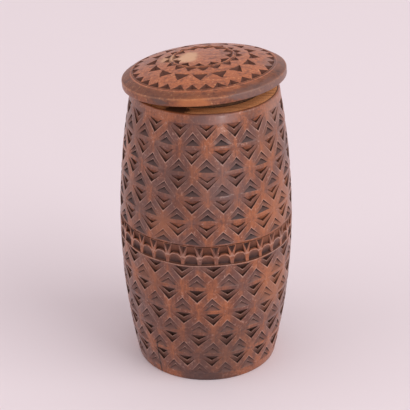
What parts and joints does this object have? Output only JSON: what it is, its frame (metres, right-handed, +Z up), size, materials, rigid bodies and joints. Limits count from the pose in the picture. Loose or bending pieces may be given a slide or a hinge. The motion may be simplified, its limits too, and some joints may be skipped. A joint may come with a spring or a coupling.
{
  "type": "carved jar",
  "caption": "Barrel-shaped wooden jar with chip-carved diamonds all round, a band of gouge cuts at half height and a loose domed lid that lifts off its mouth.",
  "frame": {"origin": "centre of the foot, on the surface that the jar stands on", "axes": "+Z up along the barrel's axis, -Y towards the pictured front"},
  "size_m": [0.1062, 0.1062, 0.2001],
  "materials": {
    "carved_wall": "stained and worn, with a soft polish",
    "base_board": "stained, dull",
    "carved_lid": "stained and worn, with a soft polish",
    "raw_plug": "raw, unstained"
  },
  "bodies": {
    "jar": {"jar_body": "carved_wall", "base_disc": "base_board"},
    "cover": {"lid": "carved_lid", "lid_plug": "raw_plug"}
  },
  "joints": [
    {"name": "lid_lift", "type": "slide", "parent": "jar", "child": "cover", "axis": [0, 0, 1], "range_m": [0, 0.08]}
  ]
}
